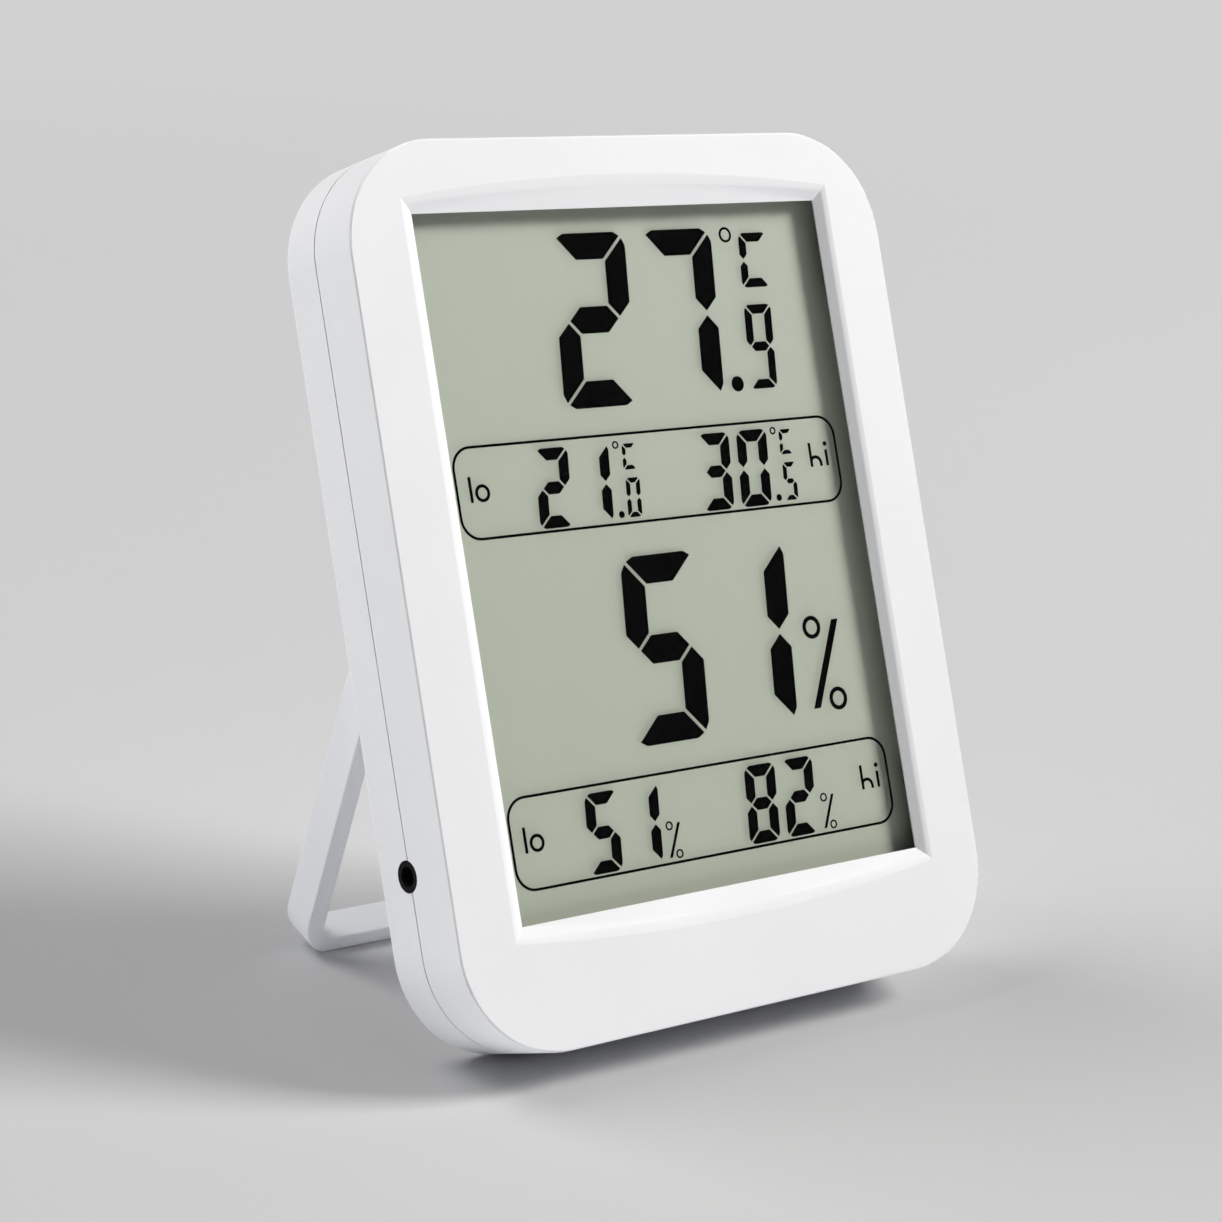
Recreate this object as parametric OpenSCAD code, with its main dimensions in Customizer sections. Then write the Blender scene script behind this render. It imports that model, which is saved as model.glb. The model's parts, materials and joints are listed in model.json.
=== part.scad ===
// Desk temperature and humidity sensor with a large display and a fold-out loop stand.
// Millimetres. +Z is up, the display faces -Y, and the case leans back on its stand.
// Case coordinates: x across, y from the front face to the back, z up from the bottom edge.

/* [Case] */
// Width of the case
case_w = 80; // [72:0.5:90]
// Height of the case
case_h = 105; // [95:0.5:116]
// Thickness of the case
case_t = 14; // [13.8:0.1:17]
// Depth of the parting line behind the front face
split_y = 7.4; // [7.2:0.1:7.8]
// Width of the groove at the parting line
split_gap = 0.2; // [0.1:0.05:0.3]
// Corner radius of the case, seen from the front
corner_r = 13; // [11:0.5:15]
// Wall of both shells
wall = 1.6; // [1.4:0.1:1.8]
// Fillet round the front face
front_edge_r = 0.25; // [0.2:0.05:1.2]
// Fillet round the back face
rear_edge_r = 1; // [0.6:0.1:1.3]
// Depth of the rear cover's rim inside the front shell
rim_depth = 1.5; // [1:0.1:1.6]
// Thickness of the rim
rim_t = 1; // [0.8:0.1:1.2]

/* [Window] */
// Width of the front frame beside the window's inner edge
frame_side = 9.5; // [9.2:0.1:11]
// Height of the front frame above the window's inner edge
brow = 8.5; // [8:0.1:10]
// Height of the front frame below the window's inner edge
chin = 14.7; // [14.5:0.1:16]
// Width of the bevel at the window's sides and corners
bevel_side = 1.35; // [1:0.05:1.8]
// Width of the bevel at the middle of its top and bottom
bevel_mid = 3.4; // [2:0.1:4.5]
// Depth of the bevel
bevel_depth = 0.8; // [0.6:0.05:0.9]
// Flare that rounds the bevel's edge into the front face
edge_flare = 0.4; // [0.1:0.05:0.6]
// Depth of that flare
flare_depth = 0.2; // [0.1:0.05:0.4]
// Upright land below the bevel
bevel_land = 0.15; // [0.1:0.05:0.25]

/* [Display] */
// Thickness of the adhesive frame that holds the lens
tape_t = 0.1; // [0.05:0.05:0.15]
// Width of the adhesive frame
tape_w = 1.2; // [0.8:0.1:1.3]
// Thickness of the clear lens
lens_t = 0.5; // [0.4:0.05:0.6]
// Reach of the lens and glass past the window's inner edge
display_over = 1.7; // [1.4:0.1:1.8]
// Thickness of each display glass
glass_t = 0.55; // [0.4:0.05:0.7]
// Thickness of the segments between the two glasses
segment_t = 0.05; // [0.04:0.01:0.08]
// Thickness of the reflector film
reflector_t = 0.2; // [0.15:0.05:0.3]
// Height of the front glass's contact ledge
ledge_h = 2.2; // [1.8:0.1:2.4]
// Width of the zebra strip
zebra_t = 1.8; // [1.4:0.1:2]
// Thickness of the foam between the display and the board
foam_t = 1.54; // [1.4:0.02:1.7]
// Height of the foam strip
foam_h = 6; // [4:0.5:9]

/* [Readings] */
// Sideways lean of the figures for each unit of height
slant = 0.09; // [0:0.01:0.14]
// Height of the temperature figures
temp_h = 20.9; // [18:0.1:21.5]
// Height of the humidity figures
humid_h = 22.4; // [20:0.1:23]
// Height of the figures in the low and high rows
record_h = 9.4; // [8:0.1:9.6]
// Height of the frame round a low and high row
frame_h = 10.95; // [10.6:0.05:11.2]
// Half width of the frame round a low and high row
frame_half_w = 29.3; // [28.8:0.1:29.8]
// Line width of the frames and signs
line_w = 0.32; // [0.2:0.02:0.4]

/* [Board] */
// Thickness of the circuit board
pcb_t = 1.2; // [1:0.1:1.3]
// Distance of the circuit board's sides inside the display's
pcb_inset = 0.8; // [0:0.1:3]
// Distance of the circuit board's top below the display's
pcb_drop = 7.8; // [4:0.1:9]
// Distance of the board's side screws from the sides of the case
pcb_screw_inset = 5.4; // [5:0.1:5.6]
// Height of the lower board screws above the board's lower edge
pcb_screw_lo = 28; // [26:0.5:34]
// Height of the upper board screws above the board's lower edge
pcb_screw_hi = 64; // [58:0.5:66]
// Shank radius of the board screws
pcb_screw_r = 0.85; // [0.7:0.05:0.95]

/* [Keys] */
// Distance of the unit key from the board's side
unit_inset = 7.2; // [6:0.1:9]
// Distance between the two keys
key_pitch = 12; // [11.5:0.1:13]
// Height of both keys above the stand's hinge
key_rise = 17.1; // [14:0.1:20]
// Radius of a key
key_r = 3.2; // [2.6:0.1:3.6]
// Clearance round a key
key_gap = 0.2; // [0.15:0.05:0.3]
// Travel of a key
key_travel = 0.6; // [0.3:0.05:0.7]
// Side of a tact switch
switch_w = 6; // [5:0.1:6.4]
// Height of a tact switch's body
switch_h = 3.1; // [2.6:0.1:3.2]
// Radius of a switch's plunger
plunger_r = 1.7; // [1.2:0.1:2]

/* [Battery] */
// Radius of the coin cell
cell_r = 10; // [8:0.5:10.5]
// Thickness of the coin cell
cell_h = 3.2; // [2:0.1:3.3]
// Height of the cell's centre above the bottom of the case
cell_z = 28.5; // [26:0.5:34]
// Thickness of the battery door
door_t = 1.5; // [1.4:0.1:1.8]
// Angle that the door turns from locked to open
door_turn = 45; // [40:1:60]
// Thickness of the lip that holds the door
door_lip = 1.2; // [1:0.1:1.3]
// Thickness of the door's lugs
lug_t = 1.1; // [0.9:0.05:1.2]
// Reach of the lugs under the lip
lug_reach = 1.5; // [1:0.1:1.6]
// Angle that a lug takes up
lug_angle = 36; // [24:1:40]

/* [Stand] */
// Lean of the case when it stands
lean = 23; // [22.5:0.25:26]
// Angle of the open stand from the back of the case
stand_open = 38.8; // [37:0.1:39.2]
// Distance of the stand from the sides of the case
stand_inset = 7; // [6.8:0.1:8]
// Width of the stand's legs
leg_w = 2.45; // [2:0.05:2.7]
// Height of the stand's foot bar
bar_h = 2.35; // [2:0.05:2.6]
// Depth of the stand's section
stand_d = 5.2; // [4.6:0.1:5.4]
// Outer corner radius of the loop
loop_r = 5; // [4:0.5:7]
// Height of the stand's hinge above the bottom of the case
hinge_z = 58.9; // [58:0.1:62]
// Radius of the stand's hinge pins
hinge_pin_r = 1.2; // [1:0.05:1.4]
// Height of the heel that meets the stop, above the hinge
heel_h = 2; // [1.6:0.1:2.2]
// Depth cut off the foot bar so that it lies flat
sole_cut = 0.35; // [0.2:0.05:0.5]

/* [Air port] */
// Outer radius of the air port's black sleeve
port_r = 1.85; // [1.5:0.05:2.2]
// Bore radius of the sleeve
port_bore_r = 1.2; // [0.8:0.05:1.3]
// Length of the sleeve
port_l = 4; // [3.6:0.1:4]
// Distance of the port behind the parting line
port_back = 0.6; // [0.3:0.1:0.9]
// Height of the port above the bottom of the case
port_z = 22.3; // [20:0.1:26]

/* [Back] */
// Radius of the case screws' posts in the front shell
post_r = 2; // [1.8:0.05:2.1]
// Shank radius of the case screws
screw_r = 1.1; // [0.9:0.05:1.2]
// Distance of the lower case screws from the centre line
low_screw_x = 22; // [19:0.5:24]
// Radius of the hanging hole's round entry
hang_r = 4; // [3.5:0.1:4.4]
// Half width of the hanging slot
hang_slot_r = 1.8; // [1.5:0.1:2]
// Rise of the hanging slot above the entry's centre
hang_rise = 6; // [5:0.5:7]
// Distance of the hanging hole's entry below the top of the case
hang_drop = 16.5; // [14:0.5:18]
// Length of a vent slot
vent_l = 16; // [12:0.5:18]
// Height of a vent slot
vent_h = 1.2; // [0.8:0.1:1.5]
// Distance between vent slots
vent_pitch = 3; // [2.5:0.1:3.2]
// Number of vent slots
vent_count = 5; // [3:1:5]

/* [Clearances] */
// Gap between pieces that are placed loosely
gap = 0.2; // [0.15:0.05:0.25]
// Gap between pieces that seat on each other
seat = 0.05; // [0.02:0.01:0.08]
// Gap between the layers of the display
layer_gap = 0.02; // [0.01:0.01:0.04]
// Gap round the stand in its recess
stand_gap = 0.3; // [0.25:0.05:0.35]
// Running clearance of the hinge pins
pin_gap = 0.05; // [0.02:0.01:0.1]

/* [Hidden] */
$fn = 64;

// Overlap that keeps a cut or a union from ending on a shared face
over = 0.5;
thin = 0.02;

// Display stack, from the front face inward
tape_y = bevel_depth + bevel_land;
lens_y = tape_y + tape_t;
glass_y = max(lens_y + lens_t, wall) + seat;
glass_back = glass_y + glass_t;
segment_y = glass_back + layer_gap;
rear_glass_y = segment_y + segment_t + layer_gap;
reflector_y = rear_glass_y + glass_t + layer_gap;
foam_y = reflector_y + reflector_t;
pcb_y = foam_y + foam_t;
pcb_back = pcb_y + pcb_t;

// Window and display outlines, seen from the front
win_w = case_w - 2 * frame_side;
win_h = case_h - chin - brow;
display_w = win_w + 2 * display_over;
display_top = chin + win_h + display_over;
lens_z = chin - display_over;
ledge_drop = 0.3;
ledge_top = chin - ledge_drop;
glass_z = ledge_top - ledge_h;
display_corner = 1;
rib_t = 0.8;

// Circuit board
pcb_z = glass_z;
pcb_w = display_w - 2 * pcb_inset;
pcb_h = display_top - pcb_drop - pcb_z;
pcb_screw_x = case_w / 2 - pcb_screw_inset;
pcb_ear_r = 2.4;
pcb_boss_r = 2;
pcb_head_r = 1.7;
pcb_head_h = 1;
pcb_screw_z = [pcb_z + pcb_screw_lo, pcb_z + pcb_screw_hi];

// Stand and its recess
stand_w = case_w - 2 * stand_inset;
hinge_y = case_t - stand_d / 2;
recess_y = case_t - stand_d - stand_gap;
recess_wall = 1.2;
recess_floor_y = max(recess_y - recess_wall, split_y + split_gap);
drop = (case_t - rear_edge_r) * sin(lean) + rear_edge_r * (1 - cos(lean));
front_reach = hinge_y - stand_d / 2 * cos(stand_open);
front_height = hinge_z - stand_d / 2 * sin(stand_open);
stand_l = (drop + sole_cut - front_reach * sin(lean) + front_height * cos(lean))
    / cos(stand_open - lean);
stop_h = heel_h * cos(stand_open) + stand_d / 2 * sin(stand_open) + seat;
loop_in_r = loop_r - leg_w;
loop_least_r = 0.4;
hinge_boss_r = hinge_pin_r + pin_gap + recess_wall;
hinge_boss_l = 1.1;
pin_end_gap = 0.4;
pin_l = stand_gap + recess_wall + hinge_boss_l - pin_end_gap;
recess_out_x = stand_w / 2 + stand_gap + recess_wall;
bar_top = hinge_z - stand_l + bar_h;

// Finger scoop above the folded foot bar
scoop_w = 16;
scoop_h = 3.6;
scoop_d = 3;

// Stance on the table
lift = drop;
y_low = front_edge_r * (cos(lean) + sin(lean) - 1);
y_high = (case_t - rear_edge_r) * cos(lean) + (case_h - rear_edge_r) * sin(lean) + rear_edge_r;
shift_y = -(y_low + y_high) / 2;

// Case screws
post_head_r = 3.4;
head_r = 2.1;
head_h = 1.5;
head_sink = 3.4;
head_y = case_t - head_sink;
head_gap = 0.3;
tip_cover = 1.4;
screw_tip_y = wall + tip_cover;
post_clear = 0.1;
top_screw_x = display_w / 2 + gap + post_r + post_clear;
corner_x = case_w / 2 - corner_r;
corner_z = case_h - corner_r;
post_fit = corner_r - wall / 2 - post_head_r;
top_screw_z = corner_z + sqrt(max(0, pow(post_fit, 2) - pow(top_screw_x - corner_x, 2)));
low_screw_z = glass_z - 2 * gap - post_r;
screws = [[-top_screw_x, top_screw_z], [top_screw_x, top_screw_z],
    [-low_screw_x, low_screw_z], [low_screw_x, low_screw_z]];

// Battery well and door, from the back inward
door_gap = 0.15;
cell_gap = 0.35;
well_r = cell_r + cell_gap;
neck_over = 1.5;
neck_r = cell_r + neck_over;
lip_r = neck_r + gap;
lug_r = neck_r + lug_reach;
door_r = lug_r + gap;
groove_r = lug_r + gap;
well_block_r = groove_r + wall;
lip_y = case_t - door_t - door_gap - door_lip;
lug_y = lip_y - door_gap - lug_t;
groove_y = lug_y - door_gap;
well_y = pcb_back + gap;
cell_y = groove_y - cell_h;
neck_grip = 0.1;
neck_in_r = cell_r - neck_grip;
press_r = 6;
cap_inset = 1.2;
cap_r = cell_r - cap_inset;
cap_h = 0.3;
lug_sides = [90, 270];
notch_play = 3;
coin_slot_l = 14;
coin_slot_w = 1.8;
coin_slot_d = 0.7;
contact_w = 4;
contact_t = 0.25;
contact_pocket = 1.2;

// Keys
key_z = hinge_z + key_rise;
unit_x = pcb_w / 2 - unit_inset;
reset_x = unit_x - key_pitch;
flange_over = 0.8;
flange_r = key_r + flange_over;
flange_t = 1.1;
flange_gap = 0.3;
flange_y = case_t - wall - flange_gap - flange_t;
dish_over = 2;
dish_r = key_r + dish_over;
dish_d = 0.6;
switch_y = pcb_back + switch_h;
plunger_up = 0.3;
plunger_in = 0.6;
plunger_top = switch_y + key_travel + plunger_up;
plunger_l = key_travel + plunger_up + plunger_in;
stem_r = 1.6;

// Air port and what lies behind it
port_y = split_y + port_back;
flange_x = -case_w / 2 + wall + gap;
port_flange_over = 0.75;
port_flange_r = port_r + port_flange_over;
port_flange_t = 0.8;
sensor_t = 0.7;
sensor_w = 5;
sensor_h = 9;
sensor_gap = 0.5;
sensor_x = -recess_out_x - sensor_gap - sensor_t;
lead_r = 0.25;
part_lift = 0.01;
lead_land = 1.4;
lead_y = pcb_back + lead_r + part_lift;
lead_end_x = -pcb_w / 2 + lead_land;
lead_pitch = 2.5;
bead_r = 1;
bead_gap = 2.4;
bead_z = port_z + sensor_h / 2 + bead_gap;

// Hanging hole
hang_z = case_h - hang_drop;
hang_depth = 2.2;
hang_wall = 1;
hang_ease = 0.4;
hang_side = hang_r + hang_ease;

// Vent slots
vent_x = -27;
vent_z = key_z - (vent_count - 1) / 2 * vent_pitch;

// Small parts on the board
blob_r = 6;
blob_h = 1.6;
blob_x = -14;
blob_z = 58;
crystal_r = 1;
crystal_l = 6;
crystal_x = blob_x + blob_r + 2 * crystal_r;
chip_l = 2;
chip_w = 1.25;
chip_h = 0.6;
chip_rows = 5;
chip_cols = 2;
chip_pitch = 3;
chip_gap = 4;
chip_x = crystal_x + chip_gap;

// Places the leaning case on the table
module stance() {
    translate([0, shift_y, lift]) rotate([-lean, 0, 0]) children();
}

// Extrudes an outline seen from the front between two depths
module slab(y0, y1) {
    mirror([0, 1, 0]) rotate([90, 0, 0]) translate([0, 0, y0]) linear_extrude(y1 - y0) children();
}

// Cylinder along the depth of the case
module rod_y(x, z, y0, y1, r) {
    translate([x, y0, z]) rotate([-90, 0, 0]) cylinder(h = y1 - y0, r = r);
}

// Cylinder across the case
module rod_x(x0, x1, y, z, r) {
    translate([x0, y, z]) rotate([0, 90, 0]) cylinder(h = x1 - x0, r = r);
}

// Box between two corners
module block(low, high) {
    translate(low) cube(high - low);
}

// Copies its children on the other side of the centre line too
module both_sides() {
    children();
    mirror([1, 0, 0]) children();
}

// Rectangle with round corners, centred across, with its lower edge at z0
module round_rect(w, z0, z1, r) {
    translate([-w / 2, z0 + r]) square([w, z1 - z0 - 2 * r]);
    translate([-w / 2 + r, z0]) square([w - 2 * r, z1 - z0]);
    for (x = [-1, 1], z = [z0 + r, z1 - r]) translate([x * (w / 2 - r), z]) circle(r);
}

// Rectangle with round lower corners only
module round_foot(w, z0, z1, r) {
    translate([-w / 2, z0 + r]) square([w, z1 - z0 - r]);
    translate([-w / 2 + r, z0]) square([w - 2 * r, 2 * r]);
    for (x = [-1, 1]) translate([x * (w / 2 - r), z0 + r]) circle(r);
}

// Case outline, drawn in by an inset
module case_outline(inset) {
    round_rect(case_w - 2 * inset, inset, case_h - inset, corner_r - inset);
}

// Section through the case's edge: radius outward, depth upward, fillet at depth 0
module edge_section(t, fillet) {
    translate([0, fillet]) square([corner_r, t - fillet]);
    square([corner_r - fillet, t]);
    translate([corner_r - fillet, fillet]) circle(fillet);
}

// Solid case half with a fillet round its outer face at depth 0
module case_half(t, fillet) {
    side = case_h - 2 * corner_r;
    top = case_w - 2 * corner_r;
    both_sides() translate([top / 2, corner_r + side, 0]) {
        rotate_extrude(angle = 90) edge_section(t, fillet);
        translate([0, -side, 0]) rotate([0, 0, -90]) rotate_extrude(angle = 90) edge_section(t, fillet);
        rotate([90, 0, 0]) linear_extrude(side) edge_section(t, fillet);
    }
    translate([-top / 2, corner_r + side, 0])
        rotate([90, 0, 90]) linear_extrude(top) edge_section(t, fillet);
    translate([-top / 2, corner_r, 0]) mirror([0, 1, 0])
        rotate([90, 0, 90]) linear_extrude(top) edge_section(t, fillet);
    translate([-top / 2, corner_r, 0]) cube([top, side, t]);
}

// Front half, its face at y = 0
module front_half() {
    mirror([0, 1, 0]) rotate([90, 0, 0]) case_half(split_y, front_edge_r);
}

// Back half, its face at the back of the case
module rear_half() {
    translate([0, case_t, 0]) rotate([90, 0, 0]) case_half(case_t - split_y - split_gap, rear_edge_r);
}

// Steps along a bowed edge of the window, and depths of the rings across the rounded edge of its bevel
bow_steps = 24;
flare_steps = 3;
flare_rings = [for (i = [-1:2:2 * flare_steps]) flare_depth * i / (2 * flare_steps - 1)];

// Outline of the window at a depth: upright sides, and a bottom and top that bow outward
function window_ring(y) =
    let (share = 1 - y / bevel_depth,
        side = bevel_side * share + edge_flare * pow(max(1 - y / flare_depth, 0), 2),
        half_w = win_w / 2 + side, bow = (bevel_mid - bevel_side) * share,
        across = [for (i = [0:bow_steps]) 2 * i / bow_steps - 1])
    concat([for (t = across) [t * half_w, y, chin - side - bow * (1 - t * t)]],
        [for (t = across) [-t * half_w, y, chin + win_h + side + bow * (1 - t * t)]]);

// Corners of the window's inner edge at a depth
function window_corners(y) =
    let (x = win_w / 2, top = chin + win_h) [[-x, y, chin], [x, y, chin], [x, y, top], [-x, y, top]];

// Solid that the window takes out of the front wall: rounded edge, bevel and upright land
module window_solid() {
    row = bow_steps + 1;
    ring = 2 * row;
    last = ring * flare_steps;
    corner = last + ring;
    lip = [for (j = [0:ring:last - ring], i = [0:ring - 1])
        let (a = j + i, b = j + (i + 1) % ring) each [[a, b, b + ring], [a, b + ring, a + ring]]];
    bevel = [for (half = [0, 1])
        let (p = last + half * row, end = p + bow_steps, mid = bow_steps / 2,
            left = corner + 2 * half, right = left + 1, next = corner + 2 * (1 - half))
        each concat([for (i = [0:bow_steps - 1]) [p + i, p + i + 1, i < mid ? left : right]],
            [[p + mid, right, left], [end, last + (1 - half) * row, next], [end, next, right]])];
    land = [for (i = [0:3])
        let (a = corner + i, b = corner + (i + 1) % 4) each [[a, b, b + 4], [a, b + 4, a + 4]]];
    front = [for (i = [ring - 1:-1:0]) i];
    back = [for (i = [4:7]) corner + i];
    rings = [for (y = flare_rings) each window_ring(y)];
    corners = concat(window_corners(bevel_depth), window_corners(lens_y));
    polyhedron(concat(rings, corners), concat([front], lip, bevel, land, [back]));
}

// Window and the seat of the lens behind it
module window_cut() {
    window_solid();
    slab(tape_y, wall + over)
        round_rect(display_w + 2 * gap, lens_z - gap, display_top + gap, display_corner);
}

// Hole through the side wall for the air port's sleeve
module port_cut() {
    rod_x(-case_w / 2 - over, flange_x, port_y, port_z, port_r + seat);
    rod_x(flange_x - gap, flange_x + port_flange_t + rim_t, port_y, port_z, port_flange_r + gap);
}

module front_shell() {
    color("whitesmoke") stance() difference() {
        union() {
            difference() {
                front_half();
                slab(wall, split_y + over) case_outline(wall);
            }
            for (s = screws) rod_y(s[0], s[1], wall - over, split_y, post_r);
            both_sides() {
                for (z = pcb_screw_z) rod_y(pcb_screw_x, z, wall - over, pcb_y, pcb_boss_r);
                block([display_w / 2 + gap, wall - over, lens_z + corner_r],
                    [display_w / 2 + gap + rib_t, pcb_y - gap, display_top - corner_r]);
            }
        }
        window_cut();
        for (s = screws) rod_y(s[0], s[1], screw_tip_y - gap, split_y + over, screw_r + seat);
        both_sides() for (z = pcb_screw_z)
            rod_y(pcb_screw_x, z, wall + gap, pcb_y + over, pcb_screw_r + seat);
        port_cut();
    }
}

// Ring that locates the rear cover inside the front shell
module cover_rim() {
    slab(split_y - rim_depth, split_y + split_gap + rim_t) difference() {
        case_outline(wall + gap / 2);
        case_outline(wall + gap / 2 + rim_t);
    }
    slab(split_y + split_gap, split_y + split_gap + rim_t) difference() {
        case_outline(wall / 2);
        case_outline(wall + gap / 2 + rim_t);
    }
}

// Loop outline, grown by an amount on every side
module loop_outline(grow, top) {
    foot = hinge_z - stand_l;
    inner_r = max(loop_in_r - grow, loop_least_r);
    difference() {
        round_foot(stand_w + 2 * grow, foot - grow, top, loop_r + grow);
        round_foot(stand_w - 2 * (leg_w + grow), foot + bar_h + grow, top + over, inner_r);
    }
}

// Walls round the stand's recess
module recess_walls() {
    slab(recess_floor_y, case_t - wall / 2)
        loop_outline(stand_gap + recess_wall, hinge_z + stop_h + recess_wall);
    both_sides()
        rod_x(recess_out_x - recess_wall, recess_out_x + hinge_boss_l, hinge_y, hinge_z, hinge_boss_r);
}

// Space that the folded stand lies in, with the bores of its hinge
module recess_cut() {
    slab(recess_y, case_t + over) loop_outline(stand_gap, hinge_z + stop_h);
    both_sides()
        rod_x(stand_w / 2, recess_out_x + hinge_boss_l + over, hinge_y, hinge_z, hinge_pin_r + pin_gap);
    slab(case_t - scoop_d, case_t + over) translate([-scoop_w / 2, bar_top]) square([scoop_w, scoop_h]);
}

// Sector of a ring round the battery's centre
module ring_sector(r0, r1, y0, y1, start, angle) {
    translate([0, 0, cell_z]) mirror([0, 1, 0]) rotate([90, 0, 0]) rotate([0, 0, start])
        rotate_extrude(angle = angle) translate([r0, y0]) square([r1 - r0, y1 - y0]);
}

// Space for the cell, the door's neck and its lugs
module well_cut() {
    rod_y(0, cell_z, case_t - door_t - door_gap, case_t + over, door_r + gap);
    rod_y(0, cell_z, lip_y - over, case_t, lip_r);
    rod_y(0, cell_z, groove_y, lip_y, groove_r);
    rod_y(0, cell_z, well_y - over, groove_y + over, well_r);
    for (side = lug_sides)
        ring_sector(neck_r, lug_r + door_gap, lip_y - thin, case_t - door_t,
            side - door_turn - lug_angle / 2 - notch_play, lug_angle + 2 * notch_play);
    block([0, well_y - over, cell_z - contact_w / 2 - gap],
        [well_r + contact_pocket, groove_y, cell_z + contact_w / 2 + gap]);
}

// Keyhole outline for hanging
module hang_outline(round_r, slot_r) {
    translate([0, hang_z]) circle(round_r);
    translate([-slot_r, hang_z]) square([2 * slot_r, hang_rise]);
    translate([0, hang_z + hang_rise]) circle(slot_r);
}

// Closed pocket behind the hanging hole, grown by an amount
module hang_pocket(grow) {
    half_w = hang_side + grow;
    translate([0, hang_z]) circle(half_w);
    translate([-half_w, hang_z]) square([2 * half_w, hang_rise]);
    translate([0, hang_z + hang_rise]) circle(half_w);
}

module rear_cover() {
    color("white") stance() difference() {
        union() {
            difference() {
                rear_half();
                slab(split_y - over, case_t - wall) case_outline(wall);
            }
            difference() {
                cover_rim();
                for (s = screws) rod_y(s[0], s[1], 0, split_y, post_r + gap);
            }
            recess_walls();
            rod_y(0, cell_z, well_y, case_t - wall / 2, well_block_r);
            slab(case_t - wall - hang_depth - hang_wall, case_t - wall / 2) hang_pocket(hang_wall);
            slab(case_t - scoop_d - recess_wall, case_t - wall / 2)
                translate([-scoop_w / 2 - recess_wall, bar_top])
                square([scoop_w + 2 * recess_wall, scoop_h + recess_wall]);
            for (s = screws) {
                rod_y(s[0], s[1], split_y, case_t - wall / 2, post_r);
                rod_y(s[0], s[1], head_y - wall, case_t - wall / 2, post_head_r);
            }
        }
        recess_cut();
        well_cut();
        slab(case_t - wall - over, case_t + over) hang_outline(hang_r, hang_slot_r);
        slab(case_t - wall - hang_depth, case_t - wall) hang_pocket(0);
        for (x = [unit_x, reset_x]) {
            rod_y(x, key_z, case_t - wall - over, case_t + over, key_r + key_gap);
            rod_y(x, key_z, case_t - dish_d, case_t + over, dish_r);
        }
        for (i = [0:vent_count - 1])
            translate([vent_x, case_t - wall - over, vent_z + i * vent_pitch - vent_h / 2])
            cube([vent_l, wall + 2 * over, vent_h]);
        for (s = screws) {
            rod_y(s[0], s[1], split_y - over, case_t, screw_r + gap);
            rod_y(s[0], s[1], head_y, case_t + over, head_r + head_gap);
        }
        port_cut();
    }
}

module display_lens() {
    color("azure", 0.35) stance() slab(lens_y, lens_y + lens_t)
        round_rect(display_w, lens_z, display_top, display_corner);
}

module lens_tape() {
    color("dimgray") stance() slab(tape_y, tape_y + tape_t) difference() {
        round_rect(display_w, lens_z, display_top, display_corner);
        round_rect(display_w - 2 * tape_w, lens_z + tape_w, display_top - tape_w, display_corner);
    }
}

// Plain rectangle behind the window, from one height to the top of the display
module glass_plate(y, t, low) {
    block([-display_w / 2, y, low], [display_w / 2, y + t, display_top]);
}

module lcd_front_glass() {
    color("lightcyan", 0.3) stance() glass_plate(glass_y, glass_t, glass_z);
}

module lcd_rear_glass() {
    color("lightcyan", 0.3) stance() glass_plate(rear_glass_y, glass_t, ledge_top);
}

module lcd_reflector() {
    color([0.69, 0.72, 0.65]) stance() glass_plate(reflector_y, reflector_t, ledge_top);
}

// Segments that are lit for each figure, and for the letter C at the end
LIT = ["abcdef", "bc", "abged", "abgcd", "fgbc", "afgcd", "afgedc", "abc", "abcdefg", "abcdfg", "afed"];
LETTER_C = 10;

// Shares of a segment's stroke taken by its cut corner and its shoulder
seg_corner = 0.16;
seg_shoulder = 0.45;

// Gap at a segment's ends: a fixed part, and a share of the stroke
seg_gap = 0.1;
seg_gap_share = 0.06;

// Outline of segment a, f or g of a figure; the others mirror these
function seg_shape(s, w, h, t, g) =
    let (c = seg_corner * t, e = seg_shoulder * t, half = t / 2, mid = h / 2, right = w - g, high = h - g)
    s == "a" ? [[g + c, h - c], [g + e, h], [right - e, h], [right - c, h - c],
        [right - t, h - t], [g + t, h - t]]
    : s == "f" ? [[0, high - e], [c, high - c], [t, high - t],
        [t, mid + g + half], [half, mid + g], [0, mid + g + half]]
    : [[g + half, mid], [g + t, mid + half], [right - t, mid + half],
        [right - half, mid], [right - t, mid - half], [g + t, mid - half]];
function flip_x(points, w) = [for (p = points) [w - p[0], p[1]]];
function flip_z(points, h) = [for (p = points) [p[0], h - p[1]]];
function seg_points(s, w, h, t, g) =
    s == "d" ? flip_z(seg_shape("a", w, h, t, g), h)
    : s == "b" ? flip_x(seg_shape("f", w, h, t, g), w)
    : s == "e" ? flip_z(seg_shape("f", w, h, t, g), h)
    : s == "c" ? flip_x(flip_z(seg_shape("f", w, h, t, g), h), w)
    : seg_shape(s, w, h, t, g);

// One seven-segment figure, leaning sideways
module figure(n, h, w, t) {
    g = seg_gap + seg_gap_share * t;
    for (s = LIT[n]) polygon([for (p = seg_points(s, w, h, t, g)) [p[0] + slant * p[1], p[1]]]);
}

// Figures side by side, from the left one's lower corner
module figures(numbers, x, z, h, w, t, pitch) {
    for (i = [0:len(numbers) - 1]) translate([x + i * pitch, z]) figure(numbers[i], h, w, t);
}

module ring(x, z, r, line) {
    translate([x, z]) difference() {
        circle(r + line / 2);
        circle(r - line / 2);
    }
}

// Degree sign and letter C; the sizes are shares of the letter's height
degree_at = [-0.22, 0.98];
degree_r = 0.12;
letter_w = 0.66;
letter_stroke = 0.165;

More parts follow.
